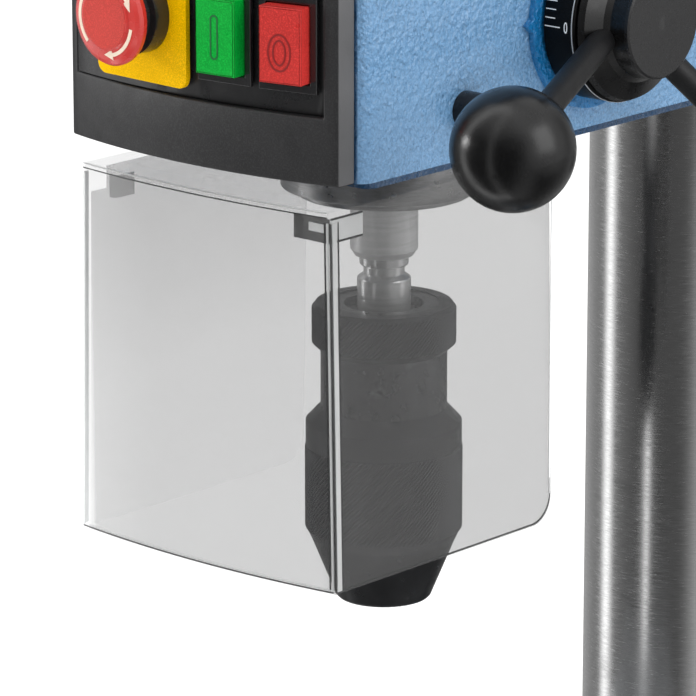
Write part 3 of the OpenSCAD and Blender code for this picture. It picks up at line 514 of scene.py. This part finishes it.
def plate_from_outline(outline, holes, thickness, place):
    """Flat plate with holes, standing up from place's XY plane. Loops are lists of (x, y)."""
    bm = bmesh.new()
    edges = []
    for loop in [outline, *holes]:
        verts = [bm.verts.new((x, y, 0)) for x, y in loop]
        edges += [bm.edges.new((verts[i], verts[(i + 1) % len(verts)])) for i in range(len(verts))]
    filled = bmesh.ops.triangle_fill(bm, use_beauty=True, use_dissolve=False, edges=edges)
    faces = [g for g in filled["geom"] if isinstance(g, bmesh.types.BMFace)]
    raised = bmesh.ops.extrude_face_region(bm, geom=faces)
    moved = [g for g in raised["geom"] if isinstance(g, bmesh.types.BMVert)]
    bmesh.ops.translate(bm, verts=moved, vec=(0, 0, thickness))
    bmesh.ops.transform(bm, matrix=place, verts=bm.verts)
    return bm


def ellipse(rx, ry, start=0.0, end=360.0, count=48):
    """Points along an ellipse's arc, in degrees; a full turn leaves out the repeated end."""
    whole = abs(end - start) >= 360
    steps = count if whole else count - 1
    angles = [math.radians(start + (end - start) * i / steps) for i in range(count)]
    return [(rx * math.cos(a), ry * math.sin(a)) for a in angles]


def pill(width, height, count=12):
    """Outline of a slot with round ends."""
    r = width / 2
    rise = height / 2 - r
    top = [(x, y + rise) for x, y in ellipse(r, r, 0, 180, count)]
    bottom = [(x, y - rise) for x, y in ellipse(r, r, 180, 360 - 1e-6, count)]
    return top + bottom


def arc_arrow(r_in, r_out, start, end, head=18.0, flare=1.1 * MM, count=28):
    """Outline of a curved arrow whose point is beyond end, in degrees."""
    sign = 1 if end > start else -1
    tip = math.radians(end + sign * head)
    mid = (r_in + r_out) / 2
    a = math.radians(end)
    point = [
        ((r_out + flare) * math.cos(a), (r_out + flare) * math.sin(a)),
        (mid * math.cos(tip), mid * math.sin(tip)),
        ((r_in - flare) * math.cos(a), (r_in - flare) * math.sin(a)),
    ]
    outer = ellipse(r_out, r_out, start, end, count)
    inner = ellipse(r_in, r_in, end, start, count)
    return outer + point + inner


def face_place(node, joint):
    """Matrix of a button's front face: origin at its centre, +Z outwards, +Y up."""
    outward = -JOINT_AXES[joint].normalized()
    points = [v.co for v in NODES[node].data.vertices]
    reach = max(p.dot(outward) for p in points)
    low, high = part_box(node)
    middle = (low + high) / 2
    origin = middle + outward * (reach - middle.dot(outward))
    right = Vector((0, 0, 1)).cross(outward).normalized()
    up = outward.cross(right)
    place = Matrix((right, up, outward)).transposed().to_4x4()
    place.translation = origin
    return place


# ---- chuck ---------------------------------------------------------------------------------


def knurled_chuck():
    """Knurled sleeve and back ring in place of the plain CAD rings."""
    low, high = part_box("chuck_sleeve")
    centre = (low + high) / 2
    r = (high.x - low.x) / 2
    z0, z1 = low.z, high.z
    bore = r - 5.65 * MM
    sleeve = [(bore, z0, 0), (r - 2.2 * MM, z0, 0), (r - 0.5 * MM, z0 + 3.5 * MM, 0)]
    sleeve += knurled_band(r, z0 + 4 * MM, z0 + 34 * MM, 1.7 * MM, 0.55 * MM)
    sleeve += [
        (r - 0.5 * MM, z0 + 34.6 * MM, 0),
        (r - 0.3 * MM, z0 + 35.2 * MM, 0),
        (r - 0.3 * MM, z1 - 5.5 * MM, 0),
        (r - 4 * MM, z1 - 1.5 * MM, 0),
        (bore, z1, 0),
    ]
    mesh = lathe("knurled_sleeve", centre, sleeve, 208)
    piece = new_piece("knurled_sleeve", mesh, "chuck_sleeve", FINISHES["chuck_sleeve"])
    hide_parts("chuck_sleeve")

    low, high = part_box("chuck_ring")
    r = (high.x - low.x) / 2
    z0, z1 = low.z, high.z
    bore = r - 6 * MM
    ring = [(bore, z0, 0), (r - 3.1 * MM, z0, 0), (r - 0.4 * MM, z0 + 2.6 * MM, 0)]
    ring += knurled_band(r, z0 + 3 * MM, z1 - 2 * MM, 1.7 * MM, 0.5 * MM)
    ring += [(r - 0.5 * MM, z1 - 1.5 * MM, 0), (r - 1.4 * MM, z1 - 0.2 * MM, 0), (bore, z1, 0)]
    mesh = lathe("knurled_ring", centre, ring, 190)
    piece = new_piece("knurled_ring", mesh, "spindle", FINISHES["chuck_ring"])
    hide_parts("chuck_ring")


def turned_arbor():
    """Arbor with a crisp collar, neck and shoulder where it shows between the spindle and the chuck."""
    low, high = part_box("arbor")
    centre = (low + high) / 2
    r = (high.x - low.x) / 2
    mouth = low.z + 27 * MM
    tail = [(0.1 * MM, low.z, 0), (r - 2.4 * MM, low.z, 0), (r - 1.25 * MM, mouth - 3.6 * MM, 0)]
    shoulder = [(r - 0.4 * MM, mouth - 3.5 * MM, 0), (r, mouth - 3.1 * MM, 0), (r, mouth + 8.8 * MM, 0)]
    shoulder += [(r - 0.3 * MM, mouth + 9.3 * MM, 0), (r - 2.1 * MM, mouth + 10.6 * MM, 0)]
    neck = [(r - 2.3 * MM, mouth + 10.9 * MM, 0), (r - 2.3 * MM, mouth + 13.4 * MM, 0)]
    collar = [(r - 1.3 * MM, mouth + 13.8 * MM, 0), (r - 0.9 * MM, mouth + 14.3 * MM, 0)]
    collar += [(r - 0.8 * MM, mouth + 17.4 * MM, 0)]
    taper = [(r - 2.43 * MM, high.z, 0), (0.1 * MM, high.z, 0)]
    mesh = lathe("turned_arbor", centre, tail + shoulder + neck + collar + taper, 160)
    piece = new_piece("turned_arbor", mesh, "spindle", FINISHES["arbor"])
    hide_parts("arbor")


# ---- control marks -------------------------------------------------------------------------


def control_marks():
    """Raised outlines on the two push buttons, and turning arrows on the stop button."""
    skin = 0.12 * MM
    dark_green = gloss_plastic("mark_green", (0.004, 0.13, 0.03), 0.35)
    dark_red = gloss_plastic("mark_red", (0.22, 0.006, 0.006), 0.35)
    cream = gloss_plastic("mark_cream", (0.80, 0.66, 0.52), 0.4)
    light_red = grained_plastic("mark_light_red", (0.47, 0.045, 0.035), 0.33, 0.5 * MM, 0.01 * MM, 0.15)

    place = face_place("start_button", "start_push")
    bar = plate_from_outline(pill(3.4 * MM, 15.4 * MM), [pill(2.2 * MM, 14.2 * MM)], skin, place)
    new_piece("start_mark", from_bmesh("start_mark", bar, False), "start", dark_green)

    place = face_place("stop_button", "stop_push") @ Matrix.Translation((0, -2.4 * MM, 0))
    for name, rx, ry in (("outer", 4.6, 6.5), ("inner", 2.7, 4.5)):
        hole = [ellipse((rx - 0.65) * MM, (ry - 0.65) * MM)]
        ring = plate_from_outline(ellipse(rx * MM, ry * MM), hole, skin, place)
        title = f"stop_mark_{name}"
        new_piece(title, from_bmesh(title, ring, False), "stop", dark_red)

    face = face_place("estop_button", "estop_push")
    disc = plate_from_outline(ellipse(10.4 * MM, 10.4 * MM), [], skin, face)
    new_piece("estop_disc", from_bmesh("estop_disc", disc, False), "estop", light_red)
    ledge = face @ Matrix.Translation((0, 0, -0.8 * MM))
    arrows = {
        "estop_arrow_left": arc_arrow(12.0 * MM, 13.3 * MM, 225, 140),
        "estop_arrow_top": arc_arrow(12.0 * MM, 13.3 * MM, 95, 35),
        "estop_arrow_low": arc_arrow(12.0 * MM, 13.3 * MM, -10, -75),
    }
    for name, outline in arrows.items():
        bm = plate_from_outline(outline, [], 0.3 * MM, ledge)
        new_piece(name, from_bmesh(name, bm, False), "estop", cream)


# ---- depth scale ---------------------------------------------------------------------------

# The drum turns this far, in degrees, while the quill travels its millimetres.
FEED_TURN = 215
QUILL_TRAVEL = 60
SIXTEENTHS = 38


def drum_point(centre, radius, x, angle):
    """Point on the drum: angle 0 faces the operator and grows upwards."""
    return Vector((x, centre.y - radius * math.cos(angle), centre.z + radius * math.sin(angle)))


def drum_patch(bm, centre, radius, x0, x1, a0, a1, steps=2):
    """Thin raised patch on the drum between two angles."""
    lift = 0.08 * MM
    rows = []
    for i in range(steps + 1):
        a = a0 + (a1 - a0) * i / steps
        rows.append([
            bm.verts.new(drum_point(centre, radius - lift, x0, a)),
            bm.verts.new(drum_point(centre, radius + lift, x0, a)),
            bm.verts.new(drum_point(centre, radius + lift, x1, a)),
            bm.verts.new(drum_point(centre, radius - lift, x1, a)),
        ])
    skin_sections(bm, rows)


def drum_number(text, centre, radius, x_mid, angle, height):
    """A number wrapped round the drum, upright when its mark faces the operator."""
    curve = bpy.data.curves.new(f"digits_{text}", "FONT")
    curve.body = text
    curve.size = height / 0.7
    curve.align_x = "CENTER"
    curve.align_y = "CENTER"
    curve.extrude = 0.08 * MM
    holder = bpy.data.objects.new(curve.name, curve)
    bpy.context.scene.collection.objects.link(holder)
    graph = bpy.context.evaluated_depsgraph_get()
    mesh = bpy.data.meshes.new_from_object(holder.evaluated_get(graph))
    bpy.data.objects.remove(holder)
    for v in mesh.vertices:
        x, y, z = v.co
        v.co = drum_point(centre, radius + z, x_mid + 0.62 * x, angle + y / radius)
    return mesh


def depth_scale():
    """Inch scale on the drum: a tick each sixteenth of an inch of travel, and a number each inch."""
    white = gloss_plastic("scale_white", (0.85, 0.86, 0.86), 0.4)
    grey = gloss_plastic("scale_grey", (0.42, 0.43, 0.44), 0.4)
    low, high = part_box("depth_drum")
    centre = (low + high) / 2
    radius = (high.z - low.z) / 2
    inch = INCH * math.radians(FEED_TURN / QUILL_TRAVEL)
    half = math.radians(0.32)
    tick_x = low.x + 1.3 * MM
    bm = bmesh.new()
    for sixteenth in range(SIXTEENTHS):
        a = sixteenth / 16 * inch
        length = 6.6 * MM if sixteenth % 8 == 0 else 4.4 * MM
        drum_patch(bm, centre, radius, tick_x, tick_x + length, a - half, a + half)
    new_piece("scale_ticks", from_bmesh("scale_ticks", bm, False), "depth_scale", white)
    for number in range(3):
        mesh = drum_number(str(number), centre, radius, low.x + 10.4 * MM, number * inch, 3.9 * MM)
        new_piece(f"scale_number_{number}", mesh, "depth_scale", white)
    bm = bmesh.new()
    drum_patch(bm, centre, radius, high.x - 1.2 * MM, high.x - 0.8 * MM, 0, 2 * math.pi - 1e-3, 96)
    new_piece("scale_rim_line", from_bmesh("scale_rim_line", bm, False), "depth_scale", grey)


# ---- chuck guard ---------------------------------------------------------------------------

# How far the front wall bows out, how far each side wall leans in at the top, and the rear corners' radius.
GUARD_BOW = 4.5 * MM
GUARD_DRAFT = 2.5 * MM
GUARD_CORNER = 10 * MM


def upright_strip(name, foot, top, width, depth, material):
    """Slim four-sided strip inside the guard's corner, from foot to top."""
    bm = bmesh.new()
    ends = []
    for p in (foot, top):
        ends.append([
            bm.verts.new((p.x + sx * width / 2, p.y + sy * depth / 2, p.z))
            for sx, sy in ((-1, -1), (1, -1), (1, 1), (-1, 1))
        ])
    skin_sections(bm, ends)
    new_piece(name, from_bmesh(name, bm, False), "guard", material)


def rim(name, path, inwards, depth, height, material):
    """Thin ribbon along the guard's wall, from a path in its lower outer edge."""
    bm = bmesh.new()
    step = inwards * depth
    up = Vector((0, 0, height))
    skin_sections(bm, [[bm.verts.new(q) for q in (p, p + step, p + step + up, p + up)] for p in path])
    new_piece(name, from_bmesh(name, bm, False), "guard", material)


def front_bow(half, z, inset):
    """Points along the guard's bowed front wall at a height, set in from its face."""
    low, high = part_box("chuck_guard")
    radius = (high.x ** 2 + GUARD_BOW ** 2) / (2 * GUARD_BOW)
    xs = [half * (2 * i / 32 - 1) for i in range(33)]
    return [Vector((x, low.y + inset + radius - math.sqrt(radius ** 2 - x ** 2), z)) for x in xs]


def guard_rims(bright, shade):
    """Painted highlight and painted shade lines along the guard's cut edges: front top and bottom, and the
    right wall.
    """
    low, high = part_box("chuck_guard")
    back = Vector((0, 1, 0))
    half = high.x - GUARD_DRAFT - 1.5 * MM
    rim("guard_rim_top", front_bow(half, high.z - 0.7 * MM, 0.3 * MM), back, 0.5 * MM, 0.5 * MM, bright)
    rim("guard_rim_under", front_bow(half, high.z - 2.2 * MM, 0.3 * MM), back, 0.4 * MM, 0.35 * MM, shade)
    half = high.x - 1.5 * MM
    rim("guard_rim_foot", front_bow(half, low.z + 0.1 * MM, 0.3 * MM), back, 0.4 * MM, 0.35 * MM, shade)
    rim("guard_rim_glint", front_bow(half, low.z + 0.8 * MM, 0.3 * MM), back, 0.4 * MM, 0.35 * MM, bright)

    x = high.x - 0.3 * MM
    bend_z = low.z + GUARD_CORNER
    r = GUARD_CORNER - 0.2 * MM
    left = Vector((-1, 0, 0))
    foot = [Vector((x, low.y + GUARD_BOW + 3 * MM, low.z + 0.1 * MM))]
    for i in range(13):
        a = math.radians(90 * i / 12)
        foot.append(Vector((x, high.y - GUARD_CORNER + r * math.sin(a), bend_z - r * math.cos(a))))
    rim("guard_rim_side", foot, left, 0.4 * MM, 0.5 * MM, shade)
    rear = [Vector((x, high.y - back_off, bend_z)) for back_off in (1.0 * MM, 0.3 * MM)]
    rim("guard_rim_rear", rear, left, 0.4 * MM, high.z - bend_z - 6 * MM, bright)


def guard_edges():
    """Light caught in the guard's two front corners, in the block at the right one, and along its rims."""
    low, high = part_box("chuck_guard")
    bright = smoked_clear("guard_edge_light", (0.92, 0.93, 0.93), 0.85, 0.2)
    shade = smoked_clear("guard_edge_shade", (0.012, 0.013, 0.014), 0.9, 0.15)
    # Grey painted shade for the front of the clip block.
    veil = smoked_clear("guard_clip_shade", (0.045, 0.045, 0.046), 0.7, 0.2)
    # Name, distances from the corner inwards and backwards, width and depth, all in mm, and finish.
    glints = (
        ("glint_front", 1.7, 0.4, 0.9, 0.4, bright),
        ("glint_side", 0.5, 2.4, 0.4, 2.2, bright),
    )
    shades = (
        ("shade_front", 2.9, 0.3, 0.45, 0.4, shade),
        ("shade_corner", 0.5, 0.6, 0.5, 0.6, shade),
        ("shade_side", 0.5, 4.4, 0.4, 0.4, shade),
    )
    for side, sign, lines in (("left", -1, glints), ("right", 1, glints + shades)):
        corner = Vector((sign * high.x, low.y + GUARD_BOW, 0))
        for name, inwards, back, width, depth, material in lines:
            foot = corner + Vector((-sign * inwards * MM, back * MM, low.z + 0.6 * MM))
            top = corner + Vector((-sign * (inwards * MM + GUARD_DRAFT), back * MM, high.z - 4 * MM))
            upright_strip(f"guard_{name}_{side}", foot, top, width * MM, depth * MM, material)

    # Name, distances from the right corner inwards and backwards, width, depth, and the foot's and
    # top's distances below the guard's top, all in mm, and finish.
    clips = (
        # clip_front is grey painted shade on the clip block's front. The patch and side are painted
        # highlights, and the line and brow are painted shade.
        ("clip_front", 9.0, 0.7, 16.0, 0.4, 11.0, 2.6, veil),
        ("clip_patch", 6.5, 0.4, 7.0, 0.3, 7.5, 4.6, bright),
        ("clip_side", 0.7, 9.0, 0.4, 16.0, 10.2, 3.0, bright),
        ("clip_line", 0.7, 9.0, 0.4, 16.0, 11.0, 10.3, shade),
        ("clip_brow", 0.7, 9.0, 0.4, 16.0, 2.9, 2.3, shade),
    )
    corner = Vector((high.x - GUARD_DRAFT, low.y + GUARD_BOW, high.z))
    for name, inwards, back, width, depth, foot_drop, top_drop, material in clips:
        foot = corner + Vector((-inwards, back, -foot_drop)) * MM
        top = corner + Vector((-inwards, back, -top_drop)) * MM
        upright_strip(f"guard_{name}", foot, top, width * MM, depth * MM, material)
    guard_rims(bright, shade)


# ---- studio --------------------------------------------------------------------------------


def studio_floor():
    size = 14.0
    mesh = bpy.data.meshes.new("studio_floor")
    corners = [(-size, -size, 0), (size, -size, 0), (size, size, 0), (-size, size, 0)]
    mesh.from_pydata([(x, y, -0.2 * MM) for x, y, _ in corners], [], [(0, 1, 2, 3)])
    f = Finish("floor_paper", 0.95, specular=0.05)
    f.paint(f.colour((0.82, 0.82, 0.82), 0.01, 0.5))
    floor = bpy.data.objects.new("studio_floor", mesh)
    bpy.context.scene.collection.objects.link(floor)
    mesh.materials.append(f.material)
    floor.visible_glossy = False


def studio_world():
    """Dim room with a bright ceiling, soft glows on three sides and three upright strip lights."""
    world = bpy.data.worlds.new("studio")
    bpy.context.scene.world = world
    world.use_nodes = True
    tree = world.node_tree
    tree.nodes.clear()
    out = tree.nodes.new("ShaderNodeOutputWorld")
    background = tree.nodes.new("ShaderNodeBackground")
    place = tree.nodes.new("ShaderNodeTexCoord").outputs["Generated"]

    def math_node(operation, a, b=None):
        node = tree.nodes.new("ShaderNodeMath")
        node.operation = operation
        for socket, value in ((node.inputs[0], a), (node.inputs[1], b)):
            if value is None:
                continue
            if isinstance(value, bpy.types.NodeSocket):
                tree.links.new(value, socket)
            else:
                socket.default_value = value
        return node.outputs[0]

    def towards(direction):
        node = tree.nodes.new("ShaderNodeVectorMath")
        node.operation = "DOT_PRODUCT"
        tree.links.new(place, node.inputs[0])
        node.inputs[1].default_value = Vector(direction).normalized()
        return node.outputs["Value"]

    def soft(value, low, high, strength):
        node = tree.nodes.new("ShaderNodeMapRange")
        node.interpolation_type = "SMOOTHSTEP"
        tree.links.new(value, node.inputs["Value"])
        node.inputs["From Min"].default_value = low
        node.inputs["From Max"].default_value = high
        node.inputs["To Max"].default_value = strength
        return node.outputs["Result"]

    def strip(azimuth, half_width, strength):
        """Upright strip light at an azimuth, 0 being the operator's side."""
        a = math.radians(azimuth)
        across = towards((math.cos(a), math.sin(a), 0))
        ahead = towards((math.sin(a), -math.cos(a), 0))
        near = soft(math_node("ABSOLUTE", across), math.sin(math.radians(half_width)), 0.0, strength)
        return math_node("MULTIPLY", near, soft(ahead, 0.0, 0.1, 1.0))

    level = soft(towards((0, 0, 1)), 0.25, 0.95, 1.3)
    level = math_node("ADD", level, 0.12)
    for part in (
        soft(towards((1.0, 0.35, 0.2)), 0.6, 0.98, 1.2),
        soft(towards((-0.3, 1.0, 0.1)), 0.0, 0.9, 0.3),
        soft(towards((-1.0, -0.2, 0.2)), 0.3, 0.95, 0.2),
        strip(-61, 12, 2.4),
        strip(-2, 6, 2.0),
        strip(70, 30, 0.6),
    ):
        level = math_node("ADD", level, part)
    tree.links.new(level, background.inputs["Strength"])
    background.inputs["Color"].default_value = (1.0, 1.0, 1.0, 1.0)
    tree.links.new(background.outputs[0], out.inputs["Surface"])


def soft_box(name, azimuth, elevation, distance, size, power, target):
    """Rectangular area light that faces the target."""
    light = bpy.data.lights.new(name, "AREA")
    light.shape = "RECTANGLE"
    light.size, light.size_y = size
    light.energy = power
    lamp = bpy.data.objects.new(name, light)
    bpy.context.scene.collection.objects.link(lamp)
    a, e = math.radians(azimuth), math.radians(elevation)
    away = Vector((math.sin(a) * math.cos(e), -math.cos(a) * math.cos(e), math.sin(e)))
    lamp.location = target + away * distance
    lamp.rotation_euler = (-away).to_track_quat("-Z", "Y").to_euler()


def photo_camera():
    """Long lens from the operator's right and a little above, aimed just above the chuck's mouth."""
    aim_left, aim_up, distance = 0.0129, 0.0893, 1.821
    a, e = math.radians(41.5), math.radians(15.2)
    right = Vector((math.cos(a), math.sin(a), 0))
    up = Vector((-math.sin(a) * math.sin(e), math.cos(a) * math.sin(e), math.cos(e)))
    ahead = Vector((-math.sin(a) * math.cos(e), math.cos(a) * math.cos(e), -math.sin(e)))
    low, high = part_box("chuck_nose")
    mouth = Vector(((low.x + high.x) / 2, (low.y + high.y) / 2, low.z))
    data = bpy.data.cameras.new("photo_camera")
    data.sensor_width = 36.0
    data.lens = 258.6
    data.clip_end = 50.0
    camera = bpy.data.objects.new("photo_camera", data)
    bpy.context.scene.collection.objects.link(camera)
    place = Matrix((right, up, -ahead)).transposed().to_4x4()
    place.translation = mouth - right * aim_left + up * aim_up - ahead * distance
    camera.matrix_world = place
    bpy.context.scene.camera = camera


def studio():
    scene = bpy.context.scene
    scene.view_settings.view_transform = "Standard"
    studio_floor()
    studio_world()
    head = (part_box("head_casting")[0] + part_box("head_casting")[1]) / 2
    soft_box("right_box", 100, 20, 2.2, (1.4, 1.6), 20, head)
    soft_box("left_box", -54, 6, 2.2, (0.2, 0.3), 9, head)
    photo_camera()


dress_cad_nodes()
knurled_chuck()
turned_arbor()
control_marks()
depth_scale()
guard_edges()
studio()
